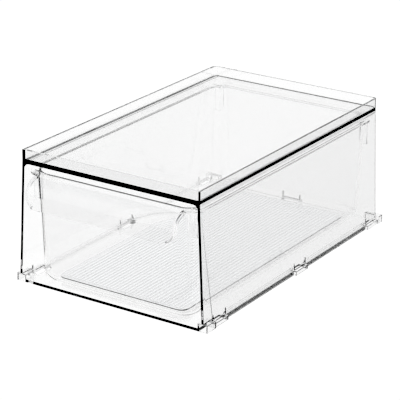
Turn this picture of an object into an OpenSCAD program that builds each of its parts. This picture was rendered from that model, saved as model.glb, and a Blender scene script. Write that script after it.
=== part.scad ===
// Stackable fridge drawer in clear plastic: an open-fronted case with a snap-in base, a pull-out
// drawer with a rolled handle lip, and a ribbed liner that lies on the drawer's floor.
// Millimetres. +Z is up, +X is to the right, and the drawer pulls out along -Y.
// The origin is on the ground, under the middle of the whole outline.

/* [Case] */
// Outside width of the case across its top
case_w = 200; // [180:1:240]
// Outside depth of the case, without the handle and the feet
case_d = 336; // [300:1:380]
// Height from the ground to the top of the stacking rim
case_h = 136; // [125:1:160]
// Height of the stacking rim above the top plate
rim_h = 9.5; // [6:0.5:12]
// Thickness of the side and back walls and of the stacking rim
wall_t = 2.5; // [2:0.1:3]
// Thickness of the top plate
plate_t = 4; // [2.4:0.1:4.4]
// How far each side wall leans out between the top plate and the ground
lean = 6.2; // [4:0.1:8]
// Radius inside the corner between the top plate and a side wall
fillet_r = 5; // [2:0.5:6]

/* [Snap-in base] */
// Thickness of the base panel
base_t = 2.8; // [2.4:0.1:3.2]
// Height of the flange along each side of the base
flange_h = 8; // [6:0.5:10]
// Thickness of that flange at its foot
flange_t = 2; // [1.6:0.1:2.6]
// Depth of the two fine grooves along the outside of the flange
line_d = 0.5; // [0.3:0.1:0.8]
// Height of each of those grooves
line_h = 0.7; // [0.4:0.1:0.8]
// Gap between the base and the inside of the walls
fit_gap = 0.15; // [0.1:0.05:0.3]
// Length of each snap tongue along its wall
tongue_l = 22.6; // [16:0.2:26]
// Height of the slits at the two ends of a tongue
slit_h = 11.5; // [9:0.5:14]
// Width of those slits
slit_w = 1.6; // [0.8:0.1:2]
// Height of a lug of the base, which is the height of the gap under a tongue
lug_h = 4.4; // [3.4:0.2:5]
// How far a lug stands out beyond the wall
lug_out = 2.5; // [1:0.5:3]
// Height of the four corner feet
foot_h = 8; // [6:0.5:9]
// How far a corner foot stands out beyond the wall
foot_out = 3.5; // [2:0.5:5]
// Length of a front foot along the side wall
front_foot_l = 15.3; // [10:0.1:20]
// Length of a rear foot along the back wall, measured in from the case's corner
rear_foot_l = 16; // [10:1:20]
// Part of the side wall that a rear foot takes the place of
rear_foot_d = 3.9; // [3:0.1:6]
// Thickness of the skin round the lugs and feet, which are hollow from below
skin_t = 1.2; // [1:0.1:1.4]
// How far the hollow under a lug opens the panel behind it
core_d = 6; // [3:0.5:8]

/* [Drawer] */
// Height of the drawer's rim above the ground
drawer_top = 115; // [100:1:116]
// Gap between the drawer's rim and the walls of the case
drawer_gap = 1.1; // [0.8:0.1:1.6]
// Gap between the drawer and the base it slides on
slide_gap = 0.4; // [0.3:0.1:0.8]
// Thickness of the drawer's walls and floor
tub_t = 2; // [1.6:0.1:2.4]
// Thickness of the flange round the drawer's rim
flange_rim_t = 2.2; // [1.8:0.1:3]
// How far the flange stands out from the side walls
flange_side_w = 3; // [2:0.5:4]
// How far the flange stands out from the back wall
flange_back_w = 1.5; // [1:0.5:3]
// How far the flange stands out from the front wall
flange_front_w = 4; // [3:0.5:6]
// Draft of the side walls, from the rim down to the floor
side_draft = 4; // [2:0.5:6]
// Draft of the front and back walls
end_draft = 2.5; // [1.5:0.5:4]
// Radius of the flange's corners
rim_r = 13; // [8:1:18]
// Radius of the wall's upright corners at the rim
tub_r = 20; // [14:1:24]
// Radius of the floor's corners
floor_r = 6; // [4:0.5:8]
// Radius between the floor and the side walls
edge_r = 15.5; // [8:0.5:18]
// Radius between the floor and the front and back walls
end_r = 9; // [3:0.5:12]

/* [Handle lip] */
// Radius of the lip's roll
lip_r = 18; // [16:1:22]
// Angle through which the lip rolls over
lip_turn = 80; // [60:1:85]
// Length of the straight apron below the roll
lip_drop = 13.5; // [8:0.5:16]
// Thickness of the lip
lip_t = 2.2; // [1.8:0.1:3]
// Width of the lip across the front
lip_w = 168; // [120:2:168]
// Radius of the lip's two lower corners
lip_corner_r = 14; // [6:1:16]

/* [Corner webs] */
// How far the webs hang below the rim
web_h = 28; // [15:1:35]
// Thickness of a web
web_t = 1.6; // [1.4:0.1:2.4]
// Distance of the front webs from the front of the rim
web_in = 8; // [6:1:12]

/* [Liner] */
// Thickness of the liner's sheet
liner_t = 1; // [0.8:0.1:2]
// Height of its ribs
rib_h = 0.5; // [0.4:0.1:1.6]
// Width of a rib
rib_w = 1.8; // [1.2:0.1:2.4]
// Distance from one rib to the next
rib_pitch = 4.2; // [3.5:0.1:8]
// Plain margin round the ribs
liner_margin = 3; // [2:0.5:10]
// Gap under the liner, and round its edge
liner_gap = 0.5; // [0.4:0.1:1]
// Radius of the liner's corners
liner_r = 9; // [7:0.5:14]

/* [Hidden] */
$fn = 48;
clear_tint = [0.93, 0.95, 0.96, 0.45];
over = 1;                                   // how far a cut runs past the face it opens

// Depths: the handle stands out at the front and the rear feet at the back
lip_out = lip_r * sin(lip_turn) + lip_drop * cos(lip_turn);
case_front = lip_out - (lip_out + case_d + foot_out) / 2;
case_back = case_front + case_d;

// Heights of the case
plate_top = case_h - rim_h;
plate_under = plate_top - plate_t;

// Half widths of the case outside and inside at height z
function side_x(z) = case_w / 2 + lean * (1 - min(z, plate_top) / plate_top);
function inner_x(z) = side_x(z) - wall_t;

// Where the side tongues start, from front to back
first_tongue = case_front + front_foot_l;
last_tongue = case_back - rear_foot_d - tongue_l;
tongue_starts = [first_tongue, (first_tongue + last_tongue) / 2, last_tongue];

// The drawer's rim and tub
rim_x = inner_x(drawer_top) - drawer_gap;
rim_back = case_back - wall_t - drawer_gap;
flange_under = drawer_top - flange_rim_t;
tub_under = base_t + slide_gap;
tub_floor = tub_under + tub_t;
tub_x = rim_x - flange_side_w;              // outside of the tub's wall at the rim
tub_front = case_front + flange_front_w;
tub_back = rim_back - flange_back_w;

// How far the tub's outside is drawn in at height z: by the draft of that wall, and near the floor
// by a round of radius r
function draft_at(z, draft) = draft * (flange_under - z) / (flange_under - tub_under);
function round_at(z, r) = z - tub_under >= r ? 0 : r - sqrt(r * r - pow(r - (z - tub_under), 2));

// The liner covers the flat of the drawer's floor and just laps onto the rounds beside it
liner_x = tub_x - tub_t - side_draft - edge_r + 2 * liner_gap;
liner_front = tub_front + tub_t + end_draft + end_r - liner_gap;
liner_back = tub_back - tub_t - end_draft - end_r + liner_gap;
liner_under = tub_floor + liner_gap;

// ---- helpers -------------------------------------------------------------------------------

// Sweeps a section drawn in X and Z along Y
module along_y(y0, y1) {
    translate([0, y1, 0]) rotate([90, 0, 0]) linear_extrude(y1 - y0) children();
}

// Sweeps a section drawn in Y and Z along X
module along_x(x0, x1) {
    translate([x0, 0, 0]) rotate([90, 0, 90]) linear_extrude(x1 - x0) children();
}

// Both sides of the object: the child and its mirror image
module both_sides() {
    children();
    mirror([1, 0, 0]) children();
}

// A box given by its two opposite corners
module block(low, high) {
    translate(low) cube(high - low);
}

// A rectangle with round corners, drawn in plan
module round_plan(half_w, y0, y1, r) {
    translate([-half_w, y0 + r]) square([2 * half_w, y1 - y0 - 2 * r]);
    translate([-half_w + r, y0]) square([2 * half_w - 2 * r, y1 - y0]);
    for (x = [-half_w + r, half_w - r], y = [y0 + r, y1 - r]) translate([x, y]) circle(r);
}

// ---- case shell ----------------------------------------------------------------------------

// Outside of the case seen from the front: upright rim, then walls that lean out
module shell_outline() {
    polygon([
        [-side_x(0), 0], [side_x(0), 0], [case_w / 2, plate_top], [case_w / 2, case_h],
        [-case_w / 2, case_h], [-case_w / 2, plate_top]
    ]);
}

// Inside of the case seen from the front, with a round under each end of the top plate
module shell_hollow() {
    tilt = atan(lean / plate_top);
    round_z = plate_under - fillet_r;
    round_x = inner_x(round_z) - fillet_r / cos(tilt);
    right = [for (i = [0:8]) let (a = tilt + (90 - tilt) * i / 8)
        [round_x + fillet_r * cos(a), round_z + fillet_r * sin(a)]];
    left = [for (i = [8:-1:0]) [-right[i].x, right[i].y]];
    polygon(concat([[-inner_x(-over), -over], [inner_x(-over), -over]], right, left));
}

// Frees one tongue in the right-hand wall: a slit at each end and a gap for the lug below
module side_tongue_cut(y) {
    x0 = inner_x(slit_h) - over;
    x1 = side_x(0) + over;
    for (start = [y, y + tongue_l - slit_w])
        block([x0, start, -over], [x1, start + slit_w, slit_h]);
    block([x0, y, -over], [x1, y + tongue_l, lug_h]);
}

// Frees the tongue in the middle of the back wall
module back_tongue_cut() {
    y0 = case_back - wall_t - over;
    y1 = case_back + over;
    for (start = [-tongue_l / 2, tongue_l / 2 - slit_w])
        block([start, y0, -over], [start + slit_w, y1, slit_h]);
    block([-tongue_l / 2, y0, -over], [tongue_l / 2, y1, lug_h]);
}

// Makes room in the right-hand wall and the back wall for the corner feet
module foot_cuts() {
    x0 = inner_x(slit_h) - over;
    x1 = side_x(0) + over;
    block([x0, case_front - over, -over], [x1, case_front + front_foot_l, foot_h]);
    block([x0, case_back - rear_foot_d, -over], [x1, case_back + over, foot_h]);
    block([side_x(0) - rear_foot_l, case_back - wall_t - over, -over],
          [x1, case_back + over, foot_h]);
}

module case_shell() {
    color(clear_tint) difference() {
        along_y(case_front, case_back) shell_outline();
        along_y(case_front - over, case_back - wall_t) shell_hollow();
        block([wall_t - case_w / 2, case_front + wall_t, plate_top],
              [case_w / 2 - wall_t, case_back - wall_t, case_h + over]);
        both_sides() {
            for (y = tongue_starts) side_tongue_cut(y);
            foot_cuts();
        }
        back_tongue_cut();
    }
}

// ---- base panel ----------------------------------------------------------------------------

// Half width of the base at height z
function base_x(z) = inner_x(z) - fit_gap;

// Flat panel, its sides leaning with the walls
module base_plate() {
    along_y(case_front, case_back - wall_t - fit_gap)
        polygon([[-base_x(0), 0], [base_x(0), 0], [base_x(base_t), base_t],
                 [-base_x(base_t), base_t]]);
}

// Flange along the right-hand side between two tongues: two fine grooves run along its outside, and
// it is stepped thinner in its upper half
module side_flange(y0, y1) {
    mid = (base_t + flange_h) / 2;
    lines = [for (z = [mid - 2 * line_h, mid + line_h]) each [
        [base_x(z), z], [base_x(z) - line_d, z],
        [base_x(z + line_h) - line_d, z + line_h], [base_x(z + line_h), z + line_h]]];
    along_y(y0, y1) polygon(concat([[base_x(0), 0]], lines, [
        [base_x(flange_h), flange_h], [base_x(flange_h) - flange_t / 2, flange_h],
        [base_x(mid) - flange_t / 2, mid], [base_x(mid) - flange_t, mid],
        [base_x(base_t) - flange_t, base_t], [base_x(0) - flange_t, 0]
    ]));
}

// Lug that reaches out under a tongue of the right-hand wall
module side_lug(y) {
    block([base_x(0) - flange_t, y + fit_gap, 0],
          [side_x(0) + lug_out, y + tongue_l - fit_gap, lug_h]);
}

// Lug under the tongue in the back wall
module back_lug() {
    block([fit_gap - tongue_l / 2, case_back - wall_t - flange_t, 0],
          [tongue_l / 2 - fit_gap, case_back + lug_out, lug_h]);
}

// Foot at the front right corner
module front_foot() {
    block([base_x(foot_h) - 2 * flange_t, case_front, 0],
          [side_x(0) + foot_out, case_front + front_foot_l - fit_gap, foot_h]);
}

// Foot that wraps the rear right corner
module rear_foot() {
    x1 = side_x(0) + foot_out;
    inner_y = case_back - wall_t - flange_t;
    block([side_x(0) - rear_foot_l + fit_gap, inner_y, 0], [x1 - foot_out, case_back + foot_out, foot_h]);
    block([base_x(foot_h) - flange_t, case_back - rear_foot_d + fit_gap, 0],
          [x1, case_back + foot_out, foot_h]);
}

// Hollow under a lug of the right-hand side, which also opens the panel behind the lug
module side_lug_core(y) {
    block([base_x(0) - core_d, y + fit_gap + skin_t, -over],
          [side_x(0) + lug_out - skin_t, y + tongue_l - fit_gap - skin_t, lug_h - skin_t]);
}

// Hollow under the lug at the back
module back_lug_core() {
    block([fit_gap - tongue_l / 2 + skin_t, case_back - wall_t - core_d, -over],
          [tongue_l / 2 - fit_gap - skin_t, case_back + lug_out - skin_t, lug_h - skin_t]);
}

// Hollows under the two feet on the right
module foot_cores() {
    x1 = side_x(0) + foot_out - skin_t;
    block([base_x(foot_h) - 2 * flange_t + skin_t, case_front + skin_t, -over],
          [x1, case_front + front_foot_l - fit_gap - skin_t, foot_h - skin_t]);
    block([side_x(0) - rear_foot_l + fit_gap + skin_t,
           case_back - rear_foot_d + fit_gap + skin_t, -over],
          [x1, case_back + foot_out - skin_t, foot_h - skin_t]);
}

module base_panel() {
    color(clear_tint) difference() {
        union() {
            base_plate();
            both_sides() {
                for (i = [0:1]) side_flange(tongue_starts[i] + tongue_l, tongue_starts[i + 1]);
                for (y = tongue_starts) side_lug(y);
                front_foot();
                rear_foot();
            }
            back_lug();
        }
        both_sides() {
            for (y = tongue_starts) side_lug_core(y);
            foot_cores();
        }
        back_lug_core();
    }
}

// ---- drawer --------------------------------------------------------------------------------

// One level of the tub as four thin corner discs, drawn in by inset from its outside
module tub_level(z, inset) {
    side = tub_x - draft_at(z, side_draft) - round_at(z, edge_r) - inset;
    front = tub_front + draft_at(z, end_draft) + round_at(z, end_r) + inset;
    back = tub_back - draft_at(z, end_draft) - round_at(z, end_r) - inset;
    r = max(tub_r + draft_at(z, side_draft) / 2 - round_at(z, edge_r) - inset, floor_r);
    for (x = [r - side, side - r], y = [front + r, back - r])
        translate([x, y, z]) cylinder(r = r, h = 0.01, $fn = 32);
}

// The tub as a solid: five levels round its lower edge, then straight up to the rim
module tub_solid(inset, top) {
    hull() {
        for (a = [0:22.5:90]) translate([0, 0, inset]) tub_level(tub_under + edge_r * (1 - cos(a)), inset);
        tub_level(top, inset);
    }
}

// Section of the handle lip: a roll that starts level with the rim, then a straight apron
module lip_section() {
    centre = [case_front, drawer_top - lip_r];
    turn = [for (i = [0:10]) lip_turn * i / 10];
    outside = [for (a = turn) centre + lip_r * [-sin(a), cos(a)]];
    inside = [for (a = turn) centre + (lip_r - lip_t) * [-sin(a), cos(a)]];
    fall = lip_drop * [-cos(lip_turn), -sin(lip_turn)];
    polygon(concat(outside, [outside[10] + fall, inside[10] + fall],
                   [for (i = [10:-1:0]) inside[i]],
                   [[tub_front + tub_t, drawer_top - lip_t], [tub_front + tub_t, drawer_top]]));
}

// The lip seen from the front: straight ends with round lower corners
module lip_face() {
    low = drawer_top - lip_r * (1 - cos(lip_turn)) - lip_drop * sin(lip_turn);
    round_plan(lip_w / 2, low, drawer_top + 3 * lip_corner_r, lip_corner_r);
}

module handle_lip() {
    intersection() {
        along_x(-lip_w / 2, lip_w / 2) lip_section();
        along_y(case_front - lip_out - over, tub_front + tub_t) lip_face();
    }
}

// Web under the flange at a right-hand corner, from the tub's round corner to near the flange edge
module corner_web(y) {
    block([tub_x - tub_r / 2 - tub_t, y, drawer_top - web_h],
          [rim_x - 1.5 * flange_side_w, y + web_t, flange_under]);
}

module drawer() {
    color(clear_tint) difference() {
        union() {
            tub_solid(0, flange_under);
            translate([0, 0, flange_under]) linear_extrude(flange_rim_t)
                round_plan(rim_x, case_front, rim_back, rim_r);
            both_sides() {
                corner_web(case_front + web_in);
                corner_web(rim_back - web_in + web_t);
            }
            handle_lip();
        }
        tub_solid(tub_t, drawer_top + over);
    }
}

// ---- liner ---------------------------------------------------------------------------------

module drawer_liner() {
    ribs = floor((liner_x - liner_margin - rib_w / 2) / rib_pitch);
    color(clear_tint) translate([0, 0, liner_under]) {
        linear_extrude(liner_t) round_plan(liner_x, liner_front, liner_back, liner_r);
        for (i = [-ribs:ribs])
            block([i * rib_pitch - rib_w / 2, liner_front + liner_margin, liner_t / 2],
                  [i * rib_pitch + rib_w / 2, liner_back - liner_margin, liner_t + rib_h]);
    }
}

case_shell();
base_panel();
drawer();
drawer_liner();
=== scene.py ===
import math

import bmesh
import bpy
from bpy.props import FloatProperty, FloatVectorProperty, PointerProperty
from bpy.types import Operator, Panel, PropertyGroup
from mathutils import Matrix, Vector


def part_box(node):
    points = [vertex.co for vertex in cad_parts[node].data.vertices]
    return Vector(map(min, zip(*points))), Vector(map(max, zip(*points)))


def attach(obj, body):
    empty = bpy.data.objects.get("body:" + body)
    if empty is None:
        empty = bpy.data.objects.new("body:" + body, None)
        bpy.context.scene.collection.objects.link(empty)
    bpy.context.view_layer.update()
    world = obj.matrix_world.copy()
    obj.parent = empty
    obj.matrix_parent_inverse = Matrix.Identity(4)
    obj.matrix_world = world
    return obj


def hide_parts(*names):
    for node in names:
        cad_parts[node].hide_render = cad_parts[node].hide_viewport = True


bl_info = {
    "name": "Stackable Fridge Drawer",
    "version": (1, 0, 0),
    "blender": (4, 5, 0),
    "location": "3D View > Sidebar > Fridge Drawer",
    "description": "Builds a clear stackable fridge drawer: case, snap-in base, drawer and liner",
    "category": "Add Mesh",
}

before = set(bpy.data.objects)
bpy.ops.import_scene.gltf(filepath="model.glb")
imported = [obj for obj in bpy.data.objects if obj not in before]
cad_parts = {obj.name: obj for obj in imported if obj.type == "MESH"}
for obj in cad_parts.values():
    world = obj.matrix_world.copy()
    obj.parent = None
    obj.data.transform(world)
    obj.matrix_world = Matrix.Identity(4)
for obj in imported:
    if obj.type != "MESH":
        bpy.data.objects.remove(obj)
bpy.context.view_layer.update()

MM = 0.001
HAIR = MM / 100                     # points this close together count as one place
NEAR = MM / 10                      # the same, where a curve or a slope is in play
OVER = 1 * MM                       # how far a cutting block runs past the face it opens
FLAT_BELOW = 0.3                    # degrees between faces that are merged into one flat face
SHARP_ABOVE = 40                    # degrees between faces whose shared edge is rounded
SMOOTH_BELOW = 35                   # degrees between faces that are shaded as one curve
SHEET_SMOOTH_BELOW = 50             # the same for the liner, so that its ribs flow into the sheet
ALONG = 0.9                         # share of an edge's length that has to run along an axis
PLASTIC_IOR = 1.53                  # how strongly the plastic bends light
WAVE_DEEP = 0.02 * MM               # how deep the slow waves in a moulded face are
CASE_LOW, CASE_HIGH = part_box("case_shell")
DRAWER_LOW, DRAWER_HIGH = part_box("drawer")
LINER_LOW, LINER_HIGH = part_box("drawer_liner")


def length(name, description, default):
    """A length in metres that the sidebar shows and a user may change."""
    return FloatProperty(name=name, description=description, default=default, min=0.0,
                         unit="LENGTH", subtype="DISTANCE", precision=4)


def tint(name, description, default):
    """A colour that the sidebar shows and a user may change."""
    return FloatVectorProperty(name=name, description=description, default=default,
                               min=0.0, max=1.0, size=3, subtype="COLOR")


def depth(name, description, default):
    """How much a plastic darkens with depth, which the sidebar shows and a user may change."""
    return FloatProperty(name=name, description=description, default=default,
                         min=0.0, max=200.0)


# ---- sizes and finishes a user may change ----------------------------------------------------

class CaseSizes(PropertyGroup):
    """Sizes of the open-fronted case."""
    wall: length("Wall", "Thickness of the side walls, back wall and stacking rim", 2.5 * MM)
    plate: length("Top plate", "Thickness of the top plate", 4 * MM)
    rim: length("Rim height", "Height of the stacking rim above the top plate", 9.5 * MM)
    lean: length("Wall lean", "How far each side wall leans out on its way down", 6.2 * MM)
    fillet: length("Inside fillet", "Radius between the top plate and a side wall", 5 * MM)
    corner: length("Back corner", "Outside radius of the upright corners at the back", 6 * MM)
    edge: length("Edge round", "Round on the edges of the moulding", 0.15 * MM)


class SnapSizes(PropertyGroup):
    """Sizes of the snap tongues in the case and of the lugs and feet of the base."""
    tongue: length("Tongue", "Length of a snap tongue along its wall", 22.6 * MM)
    slit_high: length("Slit height", "Height of the slits that free a tongue", 11.5 * MM)
    slit_wide: length("Slit width", "Width of those slits", 1.6 * MM)
    lug_high: length("Lug height", "Height of a lug, and of the gap under a tongue", 4.4 * MM)
    lug_out: length("Lug reach", "How far a lug stands out beyond the wall", 2.5 * MM)
    foot_high: length("Foot height", "Height of a corner foot", 8 * MM)
    foot_out: length("Foot reach", "How far a corner foot stands out beyond the wall", 3.5 * MM)
    front_foot: length("Front foot", "Length of a front foot along the side wall", 15.3 * MM)
    rear_foot: length("Rear foot", "Length of a rear foot along the back wall", 16 * MM)
    rear_foot_deep: length("Rear foot depth", "Part of the side wall that a rear foot replaces",
                           3.9 * MM)


class BaseSizes(PropertyGroup):
    """Sizes of the snap-in base."""
    plate: length("Panel", "Thickness of the base panel", 2.8 * MM)
    flange: length("Flange", "Thickness of the flange along each side", 2 * MM)
    flange_high: length("Flange height", "Height of that flange", 8 * MM)
    gap: length("Fit gap", "Gap between the base and the inside of the walls", 0.15 * MM)
    line_deep: length("Flange line", "Depth of the two fine grooves along the flange", 0.5 * MM)
    line_high: length("Line height", "Height of each of those grooves", 0.7 * MM)
    skin: length("Skin", "Skin left round the hollow lugs and feet", 1.2 * MM)
    core: length("Core", "How far the hollow under a lug opens the panel behind it", 6 * MM)
    edge: length("Edge round", "Round on the edges of the moulding", 0.15 * MM)


class DrawerSizes(PropertyGroup):
    """Sizes of the pull-out drawer."""
    wall: length("Wall", "Thickness of the walls, the floor, the flange and the lip", 2 * MM)
    flange_side: length("Side flange", "How far the flange stands out from the side walls", 3 * MM)
    flange_back: length("Back flange", "How far the flange stands out from the back wall", 1.5 * MM)
    flange_front: length("Front flange", "How far the flange stands out from the front wall",
                         4 * MM)
    flange_corner: length("Flange corner", "Radius of the flange's corners", 13 * MM)
    side_draft: length("Side draft", "How far a side wall draws in on its way down", 4 * MM)
    end_draft: length("End draft", "How far the front and back walls draw in", 2.5 * MM)
    corner: length("Upright corner", "Radius of the wall's upright corners at the rim", 20 * MM)
    floor_corner: length("Floor corner", "Radius of the floor's corners", 6 * MM)
    side_round: length("Side round", "Radius between the floor and a side wall", 15.5 * MM)
    end_round: length("End round", "Radius between the floor and the front and back walls", 9 * MM)
    lip_roll: length("Lip roll", "Outside radius of the rolled handle lip", 18 * MM)
    lip_drop: length("Lip apron", "Length of the straight apron below the roll", 13.5 * MM)
    lip_corner: length("Lip corner", "Radius of the lip's two lower corners", 12.5 * MM)
    lip_end: length("Lip ends", "How far the two ends of the lip turn in towards the drawer",
                    5 * MM)
    rim_round: length("Rim round", "Round on the inside edge of the rim", 0.15 * MM)
    web_high: length("Web height", "How far the corner webs hang below the rim", 28 * MM)
    web_thick: length("Web", "Thickness of a web", 1.6 * MM)
    web_in: length("Web place", "Distance of the front webs from the front of the rim", 8 * MM)
    edge: length("Edge round", "Round on the edges of the moulding", 0.12 * MM)


class LinerSizes(PropertyGroup):
    """Sizes of the ribbed liner."""
    rib_high: length("Rib height", "Height of a rib above the sheet", 0.12 * MM)
    rib_wide: length("Rib width", "Width of a rib", 3.6 * MM)
    rib_soft: FloatProperty(name="Rib softness", default=5.0, min=1.0, max=8.0,
                            description="How many times wider than high the shoulders of a rib are")
    rib_pitch: length("Rib pitch", "Distance from one rib to the next", 4.2 * MM)
    margin: length("Margin", "Plain margin round the ribs", 3 * MM)
    corner: length("Corner", "Radius of the sheet's corners", 9 * MM)
    edge: length("Edge round", "Round on the edges of the sheet", 0.25 * MM)


class Finish(PropertyGroup):
    """Colours of the clear plastics, how they darken, and what shows as black and as white."""
    case_tint: tint("Case colour", "Tint of the case", (1.0, 1.0, 1.0))
    case_depth: depth("Case depth", "How much the case darkens with depth", 13.0)
    base_tint: tint("Base colour", "Tint of the base", (1.0, 1.0, 1.0))
    base_depth: depth("Base depth", "How much the base darkens with depth", 14.0)
    drawer_tint: tint("Drawer colour", "Tint of the drawer", (1.0, 1.0, 1.0))
    drawer_depth: depth("Drawer depth", "How much the drawer darkens with depth", 3.0)
    liner_tint: tint("Liner colour", "Tint of the liner", (0.96, 0.965, 0.97))
    liner_depth: depth("Liner depth", "How much the liner darkens with depth", 1.5)
    liner_frost: FloatProperty(name="Liner frost", description="Roughness of the liner's faces",
                               default=0.06, min=0.0, max=1.0)
    black_point: FloatProperty(name="Black point", description="Light level that is shown as black",
                               default=0.07, min=0.0, max=0.5)
    white_point: FloatProperty(name="White point", description="Light level that is shown as white",
                               default=0.96, min=0.5, max=1.5)


class StageSettings(PropertyGroup):
    """Camera and light."""
    bearing: FloatProperty(name="Bearing", description="Angle of the camera from straight in front",
                           default=math.radians(32.86), subtype="ANGLE")
    height: FloatProperty(name="Height", description="Angle of the camera above the floor",
                          default=math.radians(20.87), subtype="ANGLE")
    roll: FloatProperty(name="Roll", description="Tilt of the camera about its own axis",
                        default=math.radians(-0.7), subtype="ANGLE")
    distance: length("Distance", "Distance of the camera from the middle of the object", 1.844)
    target: length("Target height", "Height of the point that the camera looks at", 56 * MM)
    lens: FloatProperty(name="Focal length", default=166.1, min=20.0, max=400.0,
                        description="Focal length in millimetres on a 36 mm sensor")
    mirror_light: FloatProperty(name="Light in reflections", default=0.3, min=0.0, max=1.0,
                                description="Brightness of the floor as the outer faces mirror it")


# ---- modelling helpers -----------------------------------------------------------------------

def take_up(piece):
    """Make piece the only selected object."""
    bpy.ops.object.select_all(action="DESELECT")
    piece.select_set(True)
    bpy.context.view_layer.objects.active = piece


def edit(piece):
    """Open piece in edit mode with everything selected."""
    take_up(piece)
    bpy.ops.object.mode_set(mode="EDIT")
    bpy.ops.mesh.select_all(action="SELECT")


def done():
    """Leave edit mode."""
    bpy.ops.object.mode_set(mode="OBJECT")


def pick_points(test):
    """Select the points whose place passes test."""
    bpy.ops.mesh.select_mode(type="VERT")
    bpy.ops.mesh.select_all(action="DESELECT")
    mesh = bmesh.from_edit_mesh(bpy.context.object.data)
    for point in mesh.verts:
        if test(point.co):
            point.select = True
    mesh.select_flush(True)
    bmesh.update_edit_mesh(bpy.context.object.data)


def pick_edges(test):
    """Select the edges whose middle and direction pass test."""
    bpy.ops.mesh.select_mode(type="EDGE")
    bpy.ops.mesh.select_all(action="DESELECT")
    mesh = bmesh.from_edit_mesh(bpy.context.object.data)
    for edge in mesh.edges:
        a, b = (point.co for point in edge.verts)
        if test((a + b) / 2, (b - a).normalized()):
            edge.select = True
    mesh.select_flush_mode()
    bmesh.update_edit_mesh(bpy.context.object.data)


def block(name, low, high):
    """A box between two corners, with its place in its mesh."""
    bpy.ops.object.select_all(action="DESELECT")
    bpy.ops.mesh.primitive_cube_add(size=1, location=[(a + b) / 2 for a, b in zip(low, high)])
    piece = bpy.context.object
    piece.name = name
    piece.scale = [b - a for a, b in zip(low, high)]
    bpy.ops.object.transform_apply(location=True, rotation=True, scale=True)
    return piece


def mirrored_blocks(name, low, high):
    """The same box on the right and, mirrored, on the left."""
    right = block(name, low, high)
    left = block(name, (-high[0], low[1], low[2]), (-low[0], high[1], high[2]))
    return [right, left]


def gather(pieces):
    """Join pieces into the first of them."""
    bpy.ops.object.select_all(action="DESELECT")
    for piece in pieces:
        piece.select_set(True)
    bpy.context.view_layer.objects.active = pieces[0]
    if len(pieces) > 1:
        bpy.ops.object.join()
    return pieces[0]


def combine(piece, other, how):
    """Cut other out of piece, or weld it on, and remove it."""
    take_up(piece)
    step = piece.modifiers.new("Combine", "BOOLEAN")
    step.operation = how
    step.solver = "MANIFOLD"
    step.object = other
    bpy.ops.object.modifier_apply(modifier=step.name)
    bpy.data.objects.remove(other)
    if not piece.data.polygons:
        raise RuntimeError(f"nothing is left of {piece.name} after a cut")


def widen(test, factor):
    """Scale the points that pass test across the middle plane, in edit mode."""
    pick_points(test)
    bpy.ops.transform.resize(value=(factor, 1, 1), center_override=(0, 0, 0))


def round_edges(test, radius, segments):
    """Round the edges that pass test, in edit mode."""
    pick_edges(test)
    bpy.ops.mesh.bevel(offset=radius, segments=segments, affect="EDGES", clamp_overlap=True)


def is_upright(direction):
    """True for an edge that runs up, or nearly."""
    return abs(direction.z) > ALONG


def runs_back(direction):
    """True for an edge that runs from front to back, or nearly."""
    return abs(direction.y) > ALONG


def finish_moulding(piece, edge_round, smooth_below):
    """Round the sharp edges as a mould leaves them, and shade the curved faces smooth."""
    take_up(piece)
    flatten = piece.modifiers.new("Flat faces", "DECIMATE")
    flatten.decimate_type = "DISSOLVE"
    flatten.angle_limit = math.radians(FLAT_BELOW)
    bpy.ops.object.modifier_apply(modifier=flatten.name)
    bevel = piece.modifiers.new("Edges", "BEVEL")
    bevel.width = edge_round
    bevel.segments = 2
    bevel.limit_method = "ANGLE"
    bevel.angle_limit = math.radians(SHARP_ABOVE)
    bevel.miter_outer = "MITER_ARC"
    bpy.ops.object.modifier_apply(modifier=bevel.name)
    bpy.ops.object.shade_smooth_by_angle(angle=math.radians(smooth_below))
    normals = piece.modifiers.new("Even shading", "WEIGHTED_NORMAL")
    normals.keep_sharp = True
    normals.weight = 100
    bpy.ops.object.modifier_apply(modifier=normals.name)


def place_piece(piece, name, body, node, material):
    """Name a finished piece, give it its finish and hang it on its body."""
    piece.name = name
    piece.data.name = name
    piece.data.materials.clear()
    piece.data.materials.append(material)
    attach(piece, body)
    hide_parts(node)


# ---- sizes that more than one piece uses -----------------------------------------------------

def plate_top():
    """Height of the top plate's upper face."""
    return CASE_HIGH.z - bpy.context.scene.fridge_case.rim


def side_x(z):
    """Half width of the case outside at height z."""
    case = bpy.context.scene.fridge_case
    top_x = CASE_HIGH.x - case.lean
    return top_x + case.lean * (1 - z / plate_top())


def inner_x(z):
    """Half width of the case inside at height z."""
    return side_x(z) - bpy.context.scene.fridge_case.wall


def tongue_starts():
    """Where the three tongues of a side wall start, from front to back."""
    snap = bpy.context.scene.fridge_snap
    first = CASE_LOW.y + snap.front_foot
    last = CASE_HIGH.y - snap.rear_foot_deep - snap.tongue
    return [first, (first + last) / 2, last]


# ---- material --------------------------------------------------------------------------------

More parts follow.
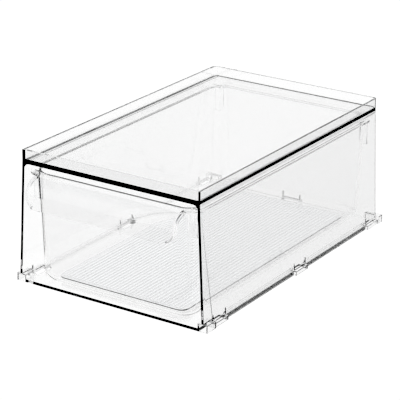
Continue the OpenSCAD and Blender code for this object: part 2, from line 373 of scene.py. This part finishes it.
def clear_plastic(name, colour, depth_density, wave_size, wave_depth, frost, haze):
    """Polished clear plastic that darkens with depth, with a slight wave in its faces."""
    material = bpy.data.materials.new(name)
    material.use_nodes = True
    tree = material.node_tree
    nodes = tree.nodes
    links = tree.links
    nodes.clear()

    body_frame = nodes.new("NodeFrame")
    body_frame.label = "Clear body"
    wave_frame = nodes.new("NodeFrame")
    wave_frame.label = "Moulded surface"
    wear_frame = nodes.new("NodeFrame")
    wear_frame.label = "Handling marks"

    place = nodes.new("ShaderNodeTexCoord")
    place.label = "Place on the piece"
    place.location = (-1300, 0)

    flow = nodes.new("ShaderNodeMapping")
    flow.label = "Flow runs front to back"
    flow.location = (-1100, 200)
    flow.inputs["Scale"].default_value = (1.0, 0.45, 1.0)
    flow.parent = wave_frame

    waves = nodes.new("ShaderNodeTexNoise")
    waves.label = "Slow waves left by shrinking"
    waves.location = (-900, 200)
    waves.inputs["Scale"].default_value = 1 / wave_size
    waves.inputs["Detail"].default_value = 1.5
    waves.inputs["Roughness"].default_value = 0.35
    waves.parent = wave_frame

    wave_bump = nodes.new("ShaderNodeBump")
    wave_bump.label = "Waves in the face"
    wave_bump.location = (-500, 200)
    wave_bump.inputs["Strength"].default_value = 1.0
    wave_bump.inputs["Distance"].default_value = wave_depth
    wave_bump.parent = wave_frame

    brush = nodes.new("ShaderNodeMapping")
    brush.label = "Scuffs run with the drawer"
    brush.location = (-1100, -250)
    brush.inputs["Scale"].default_value = (900.0, 22.0, 320.0)
    brush.parent = wear_frame

    scuffs = nodes.new("ShaderNodeTexNoise")
    scuffs.label = "Fine scuffs"
    scuffs.location = (-900, -250)
    scuffs.inputs["Scale"].default_value = 1.0
    scuffs.inputs["Detail"].default_value = 2.0
    scuffs.parent = wear_frame

    patches = nodes.new("ShaderNodeTexNoise")
    patches.label = "Where hands and shelves rub"
    patches.location = (-900, -480)
    patches.inputs["Scale"].default_value = 16.0
    patches.inputs["Detail"].default_value = 2.0
    patches.parent = wear_frame

    rubbed = nodes.new("ShaderNodeMath")
    rubbed.label = "Scuffs only where rubbed"
    rubbed.operation = "MULTIPLY"
    rubbed.location = (-700, -350)
    rubbed.parent = wear_frame

    marks = nodes.new("ShaderNodeMapRange")
    marks.label = "Few marks, the rest polished"
    marks.location = (-500, -350)
    marks.inputs["From Min"].default_value = 0.36
    marks.inputs["From Max"].default_value = 0.5
    marks.inputs["To Min"].default_value = frost
    marks.inputs["To Max"].default_value = frost + haze
    marks.parent = wear_frame

    shader = nodes.new("ShaderNodeBsdfPrincipled")
    shader.label = "Polished clear plastic"
    shader.location = (-200, 100)
    shader.inputs["Base Color"].default_value = (*colour, 1.0)
    shader.inputs["IOR"].default_value = PLASTIC_IOR
    shader.inputs["Transmission Weight"].default_value = 1.0
    shader.parent = body_frame

    absorb = nodes.new("ShaderNodeVolumeAbsorption")
    absorb.label = "Darkens with depth"
    absorb.location = (-200, -300)
    absorb.inputs["Color"].default_value = (0.0, 0.01, 0.012, 1.0)
    absorb.inputs["Density"].default_value = depth_density
    absorb.parent = body_frame

    output = nodes.new("ShaderNodeOutputMaterial")
    output.label = "Finish"
    output.location = (150, 100)

    links.new(place.outputs["Object"], flow.inputs["Vector"])
    links.new(flow.outputs["Vector"], waves.inputs["Vector"])
    links.new(waves.outputs["Fac"], wave_bump.inputs["Height"])
    links.new(wave_bump.outputs["Normal"], shader.inputs["Normal"])
    links.new(place.outputs["Object"], brush.inputs["Vector"])
    links.new(brush.outputs["Vector"], scuffs.inputs["Vector"])
    links.new(place.outputs["Object"], patches.inputs["Vector"])
    links.new(scuffs.outputs["Fac"], rubbed.inputs[0])
    links.new(patches.outputs["Fac"], rubbed.inputs[1])
    links.new(rubbed.outputs["Value"], marks.inputs["Value"])
    links.new(marks.outputs["Result"], shader.inputs["Roughness"])
    links.new(shader.outputs["BSDF"], output.inputs["Surface"])
    links.new(absorb.outputs["Volume"], output.inputs["Volume"])
    return material


# ---- case ------------------------------------------------------------------------------------

class FRIDGE_OT_case(Operator):
    """Build the open-fronted case with its stacking rim and snap tongues"""
    bl_idname = "fridge.case"
    bl_label = "Case"

    def execute(self, context):
        case = context.scene.fridge_case
        top_x = CASE_HIGH.x - case.lean
        shell = block("case", (-top_x, CASE_LOW.y, 0), (top_x, CASE_HIGH.y, CASE_HIGH.z))
        edit(shell)
        bpy.ops.mesh.bisect(plane_co=(0, 0, plate_top()), plane_no=(0, 0, 1))
        widen(lambda co: co.z < MM, side_x(0) / top_x)
        round_edges(lambda mid, way: is_upright(way) and mid.y > CASE_HIGH.y - MM,
                    case.corner, segments=6)
        done()
        combine(shell, self.inside(case), "DIFFERENCE")
        combine(shell, self.recess(case, top_x), "DIFFERENCE")
        combine(shell, gather(self.gaps(context)), "DIFFERENCE")
        combine(shell, gather(self.slits(context)), "DIFFERENCE")
        finish_moulding(shell, case.edge, SMOOTH_BELOW)
        finish = context.scene.fridge_finish
        material = clear_plastic("case plastic", finish.case_tint, finish.case_depth,
                                 wave_size=50 * MM, wave_depth=WAVE_DEEP, frost=0, haze=0.05)
        place_piece(shell, "clear_case", "case", "case_shell", material)
        return {"FINISHED"}

    def inside(self, case):
        """The space inside the walls, open to the front and below, as a block to cut with."""
        low_z = -5 * MM
        under = plate_top() - case.plate
        core = block("inside", (-inner_x(under), CASE_LOW.y - OVER, low_z),
                     (inner_x(under), CASE_HIGH.y - case.wall, under))
        edit(core)
        widen(lambda co: co.z < 0, inner_x(low_z) / inner_x(under))
        round_edges(lambda mid, way: runs_back(way) and mid.z > under - MM,
                    case.fillet, segments=8)
        round_edges(lambda mid, way: is_upright(way) and mid.y > CASE_HIGH.y - 2 * case.wall,
                    case.corner - case.wall, segments=3)
        done()
        return core

    def recess(self, case, top_x):
        """The space inside the stacking rim."""
        core = block("recess", (case.wall - top_x, CASE_LOW.y + case.wall, plate_top()),
                     (top_x - case.wall, CASE_HIGH.y - case.wall, CASE_HIGH.z + OVER))
        edit(core)
        round_edges(lambda mid, way: is_upright(way) and mid.y > CASE_HIGH.y - 2 * case.wall,
                    case.corner - case.wall, segments=3)
        done()
        return core

    def gaps(self, context):
        """Gaps under the tongues, and room for the corner feet."""
        case = context.scene.fridge_case
        snap = context.scene.fridge_snap
        x0 = inner_x(snap.slit_high) - OVER
        x1 = side_x(0) + OVER
        blocks = []
        for start in tongue_starts():
            blocks += mirrored_blocks("gap", (x0, start, -OVER),
                                      (x1, start + snap.tongue, snap.lug_high))
        blocks += mirrored_blocks("front foot", (x0, CASE_LOW.y - OVER, -OVER),
                                  (x1, CASE_LOW.y + snap.front_foot, snap.foot_high))
        meet_x = x0 + OVER / 2
        wall_y = CASE_HIGH.y - case.wall - OVER
        blocks += mirrored_blocks("rear foot", (side_x(0) - snap.rear_foot, wall_y, -OVER),
                                  (meet_x, CASE_HIGH.y + OVER, snap.foot_high))
        blocks += mirrored_blocks("rear foot",
                                  (meet_x, CASE_HIGH.y - snap.rear_foot_deep, -OVER),
                                  (x1, CASE_HIGH.y + OVER, snap.foot_high))
        blocks.append(block("back gap", (-snap.tongue / 2, wall_y, -OVER),
                            (snap.tongue / 2, CASE_HIGH.y + OVER, snap.lug_high)))
        return blocks

    def slits(self, context):
        """The upright slits at the two ends of each tongue."""
        case = context.scene.fridge_case
        snap = context.scene.fridge_snap
        x0 = inner_x(snap.slit_high) - OVER
        x1 = side_x(0) + OVER
        blocks = []
        for start in tongue_starts():
            for y in (start, start + snap.tongue - snap.slit_wide):
                blocks += mirrored_blocks("slit", (x0, y, -OVER),
                                          (x1, y + snap.slit_wide, snap.slit_high))
        for x in (-snap.tongue / 2, snap.tongue / 2 - snap.slit_wide):
            blocks.append(block("back slit", (x, CASE_HIGH.y - case.wall - OVER, -OVER),
                                (x + snap.slit_wide, CASE_HIGH.y + OVER, snap.slit_high)))
        return blocks


# ---- base ------------------------------------------------------------------------------------

class FRIDGE_OT_base(Operator):
    """Build the snap-in base with its flanges, lugs and corner feet"""
    bl_idname = "fridge.base"
    bl_label = "Snap-in base"

    def execute(self, context):
        base = context.scene.fridge_base
        case = context.scene.fridge_case
        foot_x = inner_x(0) - base.gap
        panel = block("panel", (-foot_x, CASE_LOW.y, 0),
                      (foot_x, CASE_HIGH.y - case.wall - base.gap, base.plate))
        edit(panel)
        widen(lambda co: co.z > base.plate / 2, (inner_x(base.plate) - base.gap) / foot_x)
        done()
        for part in self.flanges(context) + self.lugs(context) + self.feet(context):
            combine(panel, part, "UNION")
        combine(panel, gather(self.cores(context)), "DIFFERENCE")
        finish_moulding(panel, base.edge, SMOOTH_BELOW)
        finish = context.scene.fridge_finish
        material = clear_plastic("base plastic", finish.base_tint, finish.base_depth,
                                 wave_size=60 * MM, wave_depth=WAVE_DEEP, frost=0, haze=0.08)
        place_piece(panel, "snap_in_base", "case", "base_panel", material)
        return {"FINISHED"}

    def flanges(self, context):
        """The flanges between the tongues, grooved outside and thinner in their upper half."""
        base = context.scene.fridge_base
        snap = context.scene.fridge_snap
        out = inner_x(0) - base.gap
        middle = (base.plate + base.flange_high) / 2
        lines = (middle - 2 * base.line_high, middle + base.line_high)
        starts = tongue_starts()
        parts = []
        for start, end in zip(starts, starts[1:]):
            near = start + snap.tongue
            pair = gather(mirrored_blocks("flange", (out - base.flange, near, 0),
                                          (out, end, base.flange_high)))
            cuts = mirrored_blocks("step", (out - base.flange - OVER, near - OVER, middle),
                                   (out - base.flange / 2, end + OVER, base.flange_high + OVER))
            for low in lines:
                cuts += mirrored_blocks("line", (out - base.line_deep, near - OVER, low),
                                        (out + OVER, end + OVER, low + base.line_high))
            combine(pair, gather(cuts), "DIFFERENCE")
            edit(pair)
            for z in (middle, base.flange_high, *lines, *(low + base.line_high for low in lines)):
                widen(lambda co: abs(co.z - z) < HAIR, inner_x(z) / inner_x(0))
            done()
            parts.append(pair)
        return parts

    def lugs(self, context):
        """The lugs that reach out under the tongues."""
        base = context.scene.fridge_base
        snap = context.scene.fridge_snap
        case = context.scene.fridge_case
        x0 = inner_x(0) - base.gap - base.flange
        parts = []
        for start in tongue_starts():
            end = start + snap.tongue - base.gap
            parts += mirrored_blocks("lug", (x0, start + base.gap, 0),
                                     (side_x(0) + snap.lug_out, end, snap.lug_high))
        half = snap.tongue / 2 - base.gap
        parts.append(block("back lug", (-half, CASE_HIGH.y - case.wall - base.flange, 0),
                           (half, CASE_HIGH.y + snap.lug_out, snap.lug_high)))
        return parts

    def feet(self, context):
        """The four corner feet."""
        base = context.scene.fridge_base
        snap = context.scene.fridge_snap
        case = context.scene.fridge_case
        x0 = inner_x(snap.foot_high) - base.gap
        x1 = side_x(0) + snap.foot_out
        back = CASE_HIGH.y + snap.foot_out
        parts = mirrored_blocks("front foot", (x0 - 2 * base.flange, CASE_LOW.y, 0),
                                (x1, CASE_LOW.y + snap.front_foot - base.gap, snap.foot_high))
        parts += mirrored_blocks("rear foot", (side_x(0) - snap.rear_foot + base.gap,
                                               CASE_HIGH.y - case.wall - base.flange, 0),
                                 (x1 - snap.foot_out, back, snap.foot_high))
        parts += mirrored_blocks("rear foot", (x0 - base.flange,
                                               CASE_HIGH.y - snap.rear_foot_deep + base.gap, 0),
                                 (x1, back, snap.foot_high))
        return parts

    def cores(self, context):
        """The hollows under the lugs, which open the panel behind them, and under the feet."""
        base = context.scene.fridge_base
        snap = context.scene.fridge_snap
        case = context.scene.fridge_case
        inset = base.gap + base.skin
        out = side_x(0) - base.skin
        back = CASE_HIGH.y - base.skin
        lug_top = snap.lug_high - base.skin
        foot_top = snap.foot_high - base.skin
        parts = []
        for start in tongue_starts():
            parts += mirrored_blocks("core",
                                     (inner_x(0) - base.gap - base.core, start + inset, -OVER),
                                     (out + snap.lug_out, start + snap.tongue - inset, lug_top))
        half = snap.tongue / 2 - inset
        parts.append(block("core", (-half, CASE_HIGH.y - case.wall - base.core, -OVER),
                           (half, back + snap.lug_out, lug_top)))
        foot_x = inner_x(snap.foot_high) - base.gap - 2 * base.flange
        parts += mirrored_blocks("core", (foot_x + base.skin, CASE_LOW.y + base.skin, -OVER),
                                 (out + snap.foot_out,
                                  CASE_LOW.y + snap.front_foot - inset, foot_top))
        parts += mirrored_blocks("core", (side_x(0) - snap.rear_foot + inset,
                                          CASE_HIGH.y - snap.rear_foot_deep + inset, -OVER),
                                 (out + snap.foot_out, back + snap.foot_out, foot_top))
        return parts


# ---- drawer ----------------------------------------------------------------------------------

FLOOR_STEPS = 6                     # rings in the round between the floor and the walls
CORNER_TAPER = 0.6                  # how fast the upright corners tighten as the walls draw in
RIM_BOW = 0.3                       # distance of the rim's round from its corner, in radii
LIP_END_SOFT = 1.1                  # radius where the lip's ends turn in, in wall thicknesses


class FRIDGE_OT_drawer(Operator):
    """Build the pull-out drawer with its flange, corner webs and rolled handle lip"""
    bl_idname = "fridge.drawer"
    bl_label = "Drawer"

    def execute(self, context):
        sizes = context.scene.fridge_drawer
        tub = gather([self.ring(*level) for level in self.levels(sizes)])
        edit(tub)
        bpy.ops.mesh.bridge_edge_loops()
        self.close_floor()
        bpy.ops.mesh.select_all(action="SELECT")
        bpy.ops.mesh.normals_make_consistent(inside=False)
        self.roll_lip(sizes)
        done()
        take_up(tub)
        wall = tub.modifiers.new("Wall", "SOLIDIFY")
        wall.thickness = sizes.wall
        wall.offset = self.wall_side(tub)
        wall.use_even_offset = True
        bpy.ops.object.modifier_apply(modifier=wall.name)
        for web in self.webs(sizes):
            combine(tub, web, "UNION")
        finish_moulding(tub, sizes.edge, SMOOTH_BELOW)
        finish = context.scene.fridge_finish
        material = clear_plastic("drawer plastic", finish.drawer_tint, finish.drawer_depth,
                                 wave_size=45 * MM, wave_depth=1.5 * WAVE_DEEP, frost=0, haze=0.06)
        place_piece(tub, "pull_out_drawer", "drawer", "drawer", material)
        return {"FINISHED"}

    def levels(self, sizes):
        """The rings of the inner face, from the floor up over the rim to the flange's edge."""
        rim_x = DRAWER_HIGH.x
        top = DRAWER_HIGH.z
        floor = DRAWER_LOW.z + sizes.wall
        half = rim_x - sizes.flange_side - sizes.wall
        near = CASE_LOW.y + sizes.flange_front + sizes.wall
        far = DRAWER_HIGH.y - sizes.flange_back - sizes.wall
        side_round = sizes.side_round - sizes.wall
        end_round = sizes.end_round - sizes.wall / 2
        corner = sizes.corner - sizes.wall
        rings = []
        for step in range(FLOOR_STEPS + 1):
            turn = math.radians(90 * step / FLOOR_STEPS)
            z = floor + side_round * (1 - math.cos(turn))
            lean = (top - z) / (top - floor)
            side_in = side_round * (1 - math.sin(turn)) + sizes.side_draft * lean
            end_z = min(z - floor, end_round)
            end_in = end_round - math.sqrt(max(0, end_round ** 2 - (end_round - end_z) ** 2))
            end_in += sizes.end_draft * lean
            radius = max(sizes.floor_corner, corner - side_in * CORNER_TAPER)
            rings.append((half - side_in, near + end_in, far - end_in, z, radius))
        edge = sizes.rim_round
        bow = edge * RIM_BOW
        rings.append((half, near, far, top - edge, corner))
        rings.append((half + bow, near - bow, far + bow, top - bow, corner + bow))
        rings.append((half + edge, near - edge, far + edge, top, corner + edge))
        rings.append((rim_x, CASE_LOW.y, DRAWER_HIGH.y, top, sizes.flange_corner))
        return rings

    def ring(self, half, near, far, z, radius):
        """One level of the drawer: the outline of a rectangle with round corners."""
        bpy.ops.object.select_all(action="DESELECT")
        bpy.ops.mesh.primitive_plane_add(size=1, location=(0, (near + far) / 2, z))
        outline = bpy.context.object
        outline.scale = (2 * half, far - near, 1)
        bpy.ops.object.transform_apply(location=True, rotation=True, scale=True)
        edit(outline)
        bpy.ops.mesh.bevel(offset=radius, segments=12, affect="VERTICES", clamp_overlap=False)
        bpy.ops.mesh.select_all(action="SELECT")
        bpy.ops.mesh.delete(type="ONLY_FACE")
        done()
        return outline

    def close_floor(self):
        """Fill the lowest ring with the floor."""
        low = min(point.co.z for point in bmesh.from_edit_mesh(bpy.context.object.data).verts)
        pick_points(lambda co: co.z < low + HAIR)
        bpy.ops.mesh.edge_face_add()

    def roll_lip(self, sizes):
        """Roll the front of the flange over and down into the handle lip."""
        front = CASE_LOW.y
        top = DRAWER_HIGH.z
        pick_edges(lambda mid, way: mid.y < front + NEAR and abs(mid.x) < MM)
        turn = self.lip_turn(sizes)
        bpy.ops.mesh.spin(steps=12, angle=turn, center=(0, front, top - sizes.lip_roll),
                          axis=(-1, 0, 0))
        down = Vector((0, -math.cos(turn), -math.sin(turn))) * sizes.lip_drop
        bpy.ops.mesh.extrude_region_move(TRANSFORM_OT_translate={"value": down})
        low = min(point.co.z for point in bmesh.from_edit_mesh(bpy.context.object.data).verts
                  if point.co.y < front)
        pick_points(lambda co: co.y < front and co.z < low + NEAR)
        bpy.ops.mesh.bevel(offset=sizes.lip_corner, segments=10, affect="VERTICES",
                           clamp_overlap=False)
        self.turn_in_ends(sizes, turn)

    def turn_in_ends(self, sizes, turn):
        """Turn the two ends of the lip in towards the drawer, round a soft corner."""
        front = CASE_LOW.y
        end_x = DRAWER_HIGH.x - sizes.flange_corner - sizes.lip_corner / 2
        mesh = bmesh.from_edit_mesh(bpy.context.object.data)
        corners = [(edge.verts[0].co + edge.verts[1].co) / 2
                   for edge in mesh.edges if edge.is_boundary]
        corners = [mid for mid in corners if mid.y < front - NEAR and abs(mid.x) > end_x]
        pick_edges(lambda mid, way: min((mid - corner).length for corner in corners) < HAIR)
        bpy.ops.mesh.extrude_region_move()
        mesh = bmesh.from_edit_mesh(bpy.context.object.data)
        for point in mesh.verts:
            if point.select:
                rise = point.co.z - (DRAWER_HIGH.z - sizes.lip_roll)
                angle = min(turn, math.atan2(front - point.co.y, rise))
                point.co += sizes.lip_end * Vector((0, math.sin(angle), -math.cos(angle)))
        bmesh.update_edit_mesh(bpy.context.object.data)
        pick_edges(lambda mid, way: min((mid - corner).length for corner in corners) < HAIR)
        bpy.ops.mesh.bevel(offset=sizes.wall * LIP_END_SOFT, segments=4, affect="EDGES",
                           clamp_overlap=False)

    def lip_turn(self, sizes):
        """Angle of the roll that brings the lip's end to the front of the drawer's box."""
        reach = CASE_LOW.y - DRAWER_LOW.y
        span = math.hypot(sizes.lip_roll, sizes.lip_drop)
        return math.pi - math.asin(reach / span) - math.atan2(sizes.lip_drop, sizes.lip_roll)

    def wall_side(self, tub):
        """Which way Solidify has to work so that the wall grows out and down."""
        floor = min(tub.data.polygons, key=lambda face: face.center.z)
        return -1 if floor.normal.z > 0 else 1

    def webs(self, sizes):
        """Webs under the flange at the four corners."""
        tub_x = DRAWER_HIGH.x - sizes.flange_side
        z0 = DRAWER_HIGH.z - sizes.web_high
        z1 = DRAWER_HIGH.z - sizes.wall / 2
        parts = []
        for y in (CASE_LOW.y + sizes.web_in, DRAWER_HIGH.y - sizes.web_in + sizes.web_thick):
            parts += mirrored_blocks("web", (tub_x - sizes.corner / 2 - sizes.wall, y, z0),
                                     (DRAWER_HIGH.x - 1.5 * sizes.flange_side,
                                      y + sizes.web_thick, z1))
        return parts


# ---- liner -----------------------------------------------------------------------------------

RIB_SUNK = 0.3 * MM                 # how far a rib reaches down into the sheet
RIB_END_ROUND = 0.9                 # round on a rib's ends, in half widths before it is widened
RIB_TOP_ROUND = 0.95                # round on its top, in the same measure


class FRIDGE_OT_liner(Operator):
    """Build the ribbed liner that lies on the drawer's floor"""
    bl_idname = "fridge.liner"
    bl_label = "Ribbed liner"

    def execute(self, context):
        sizes = context.scene.fridge_liner
        sheet_top = LINER_HIGH.z - sizes.rib_high
        sheet = block("liner", LINER_LOW, (LINER_HIGH.x, LINER_HIGH.y, sheet_top))
        edit(sheet)
        round_edges(lambda mid, way: is_upright(way), sizes.corner, segments=8)
        done()
        rib = self.rib(sizes, sheet_top)
        half_run = LINER_HIGH.x - sizes.margin - sizes.rib_wide / 2
        count = int(half_run / sizes.rib_pitch)
        ribs = [rib]
        for step in range(-count, count + 1):
            if step == 0:
                continue
            copy = rib.copy()
            copy.data = rib.data.copy()
            context.collection.objects.link(copy)
            copy.data.transform(Matrix.Translation((step * sizes.rib_pitch, 0, 0)))
            ribs.append(copy)
        combine(sheet, gather(ribs), "UNION")
        finish_moulding(sheet, sizes.edge, SHEET_SMOOTH_BELOW)
        finish = context.scene.fridge_finish
        material = clear_plastic("liner plastic", finish.liner_tint, finish.liner_depth,
                                 wave_size=30 * MM, wave_depth=WAVE_DEEP,
                                 frost=finish.liner_frost, haze=0.1)
        place_piece(sheet, "ribbed_liner", "liner", "drawer_liner", material)
        return {"FINISHED"}

    def rib(self, sizes, sheet_top):
        """One rib with round ends and a rounded top, sunk a little into the sheet."""
        half_wide = sizes.rib_wide / sizes.rib_soft / 2
        rib = block("rib", (-half_wide, LINER_LOW.y + sizes.margin, sheet_top - RIB_SUNK),
                    (half_wide, LINER_HIGH.y - sizes.margin, LINER_HIGH.z))
        edit(rib)
        round_edges(lambda mid, way: is_upright(way), half_wide * RIB_END_ROUND, segments=4)
        round_edges(lambda mid, way: mid.z > LINER_HIGH.z - HAIR,
                    half_wide * RIB_TOP_ROUND, segments=5)
        widen(lambda co: True, sizes.rib_soft)
        done()
        return rib


# ---- stage -----------------------------------------------------------------------------------

FLOOR_WIDE = 40                     # metres, so that its edge is never seen
FLOOR_DROP = 0.3 * MM               # gap under the object that keeps the floor off its underside
AIM_X = -3 * MM                     # the camera looks a little to the left of the middle
SENSOR_WIDE = 36                    # millimetres
WHITE_UP_TO = 0.5                   # height up to which the light is white, overhead being 1
SOFTEST_FROM = 0.92                 # height from which it is softest
LIGHT_BOUNCES = 32                  # enough to pass every wall of the nested clear pieces


class FRIDGE_OT_stage(Operator):
    """Lay the white floor, set the soft light all round and place the camera"""
    bl_idname = "fridge.stage"
    bl_label = "Floor, light and camera"

    def execute(self, context):
        settings = context.scene.fridge_stage
        self.floor(settings)
        self.light(context)
        self.camera(context, settings)
        self.light_paths(context.scene)
        return {"FINISHED"}

    def floor(self, settings):
        """A wide white floor lit evenly from below, less bright where the clear faces mirror it."""
        bpy.ops.object.select_all(action="DESELECT")
        bpy.ops.mesh.primitive_plane_add(size=FLOOR_WIDE, location=(0, 0, -FLOOR_DROP))
        floor = bpy.context.object
        floor.name = "white_floor"
        material = bpy.data.materials.new("lit floor")
        material.use_nodes = True
        nodes = material.node_tree.nodes
        links = material.node_tree.links
        nodes.clear()
        path = nodes.new("ShaderNodeLightPath")
        path.label = "How the light gets here"
        path.location = (-600, 0)
        level = nodes.new("ShaderNodeMapRange")
        level.label = "Dimmer in mirrored light"
        level.location = (-350, 0)
        level.inputs["To Min"].default_value = 1.0
        level.inputs["To Max"].default_value = settings.mirror_light
        glow = nodes.new("ShaderNodeEmission")
        glow.label = "Even white"
        glow.location = (-100, 0)
        output = nodes.new("ShaderNodeOutputMaterial")
        output.label = "Floor"
        output.location = (150, 0)
        links.new(path.outputs["Is Reflection Ray"], level.inputs["Value"])
        links.new(level.outputs["Result"], glow.inputs["Strength"])
        links.new(glow.outputs["Emission"], output.inputs["Surface"])
        floor.data.materials.append(material)

    def light(self, context):
        """White to well above the horizon, softer overhead."""
        world = bpy.data.worlds.new("soft light")
        context.scene.world = world
        world.use_nodes = True
        nodes = world.node_tree.nodes
        links = world.node_tree.links
        nodes.clear()
        way = nodes.new("ShaderNodeTexCoord")
        way.label = "Direction"
        way.location = (-800, 0)
        split = nodes.new("ShaderNodeSeparateXYZ")
        split.label = "Height"
        split.location = (-600, 0)
        fade = nodes.new("ShaderNodeValToRGB")
        fade.label = "White below, softer overhead"
        fade.location = (-400, 0)
        fade.color_ramp.interpolation = "EASE"
        fade.color_ramp.elements[0].position = WHITE_UP_TO
        fade.color_ramp.elements[0].color = (1.0, 1.0, 1.0, 1.0)
        fade.color_ramp.elements[1].position = SOFTEST_FROM
        fade.color_ramp.elements[1].color = (0.35, 0.36, 0.37, 1.0)
        sky = nodes.new("ShaderNodeBackground")
        sky.label = "Soft light"
        sky.location = (-100, 0)
        output = nodes.new("ShaderNodeOutputWorld")
        output.label = "World"
        output.location = (150, 0)
        links.new(way.outputs["Generated"], split.inputs["Vector"])
        links.new(split.outputs["Z"], fade.inputs["Fac"])
        links.new(fade.outputs["Color"], sky.inputs["Color"])
        links.new(sky.outputs["Background"], output.inputs["Surface"])

    def camera(self, context, settings):
        """A long lens on the middle of the object."""
        back = Vector((math.sin(settings.bearing) * math.cos(settings.height),
                       -math.cos(settings.bearing) * math.cos(settings.height),
                       math.sin(settings.height)))
        right = Vector((math.cos(settings.bearing), math.sin(settings.bearing), 0))
        up = back.cross(right)
        middle = Vector((AIM_X, 0, settings.target))
        view = Matrix((right, up, back)).transposed() @ Matrix.Rotation(-settings.roll, 3, "Z")
        data = bpy.data.cameras.new("camera")
        data.sensor_width = SENSOR_WIDE
        data.lens = settings.lens
        data.clip_end = 100
        camera = bpy.data.objects.new("camera", data)
        context.collection.objects.link(camera)
        camera.matrix_world = Matrix.Translation(middle + back * settings.distance) @ view.to_4x4()
        context.scene.camera = camera

    def light_paths(self, scene):
        """Let light through every clear wall, and set which light levels show black and white."""
        scene.cycles.max_bounces = LIGHT_BOUNCES
        scene.cycles.transmission_bounces = LIGHT_BOUNCES
        scene.cycles.glossy_bounces = LIGHT_BOUNCES
        scene.cycles.transparent_max_bounces = 16
        scene.cycles.sample_clamp_indirect = 0
        scene.cycles.use_adaptive_sampling = False
        scene.cycles.use_denoising = True
        scene.view_settings.view_transform = "Standard"
        scene.view_settings.use_curve_mapping = True
        curves = scene.view_settings.curve_mapping
        curves.black_level = [scene.fridge_finish.black_point] * 3
        curves.white_level = [scene.fridge_finish.white_point] * 3
        curves.update()


# ---- panel and registration ------------------------------------------------------------------

class FRIDGE_PT_panel(Panel):
    """Sidebar panel with every setting and build step"""
    bl_idname = "FRIDGE_PT_panel"
    bl_label = "Stackable fridge drawer"
    bl_space_type = "VIEW_3D"
    bl_region_type = "UI"
    bl_category = "Fridge Drawer"

    def draw(self, context):
        layout = self.layout
        for slot, group, steps in BUILD_ORDER:
            box = layout.box()
            settings = getattr(context.scene, slot)
            for name in group.__annotations__:
                box.prop(settings, name)
            for step in steps:
                box.operator(step.bl_idname)


BUILD_ORDER = (
    ("fridge_stage", StageSettings, (FRIDGE_OT_stage,)),
    ("fridge_finish", Finish, ()),
    ("fridge_case", CaseSizes, (FRIDGE_OT_case,)),
    ("fridge_snap", SnapSizes, ()),
    ("fridge_base", BaseSizes, (FRIDGE_OT_base,)),
    ("fridge_drawer", DrawerSizes, (FRIDGE_OT_drawer,)),
    ("fridge_liner", LinerSizes, (FRIDGE_OT_liner,)),
)
CLASSES = [cls for _, group, steps in BUILD_ORDER for cls in (group, *steps)] + [FRIDGE_PT_panel]


def register():
    """Register the classes and hang each group of sizes on the scene."""
    for cls in CLASSES:
        bpy.utils.register_class(cls)
    for slot, group, _ in BUILD_ORDER:
        setattr(bpy.types.Scene, slot, PointerProperty(type=group))


def unregister():
    """Undo register."""
    for slot, _, _ in BUILD_ORDER:
        delattr(bpy.types.Scene, slot)
    for cls in reversed(CLASSES):
        bpy.utils.unregister_class(cls)


def main():
    """Build everything in order."""
    register()
    bpy.ops.fridge.stage()
    bpy.ops.fridge.case()
    bpy.ops.fridge.base()
    bpy.ops.fridge.drawer()
    bpy.ops.fridge.liner()


if __name__ == "__main__":
    main()
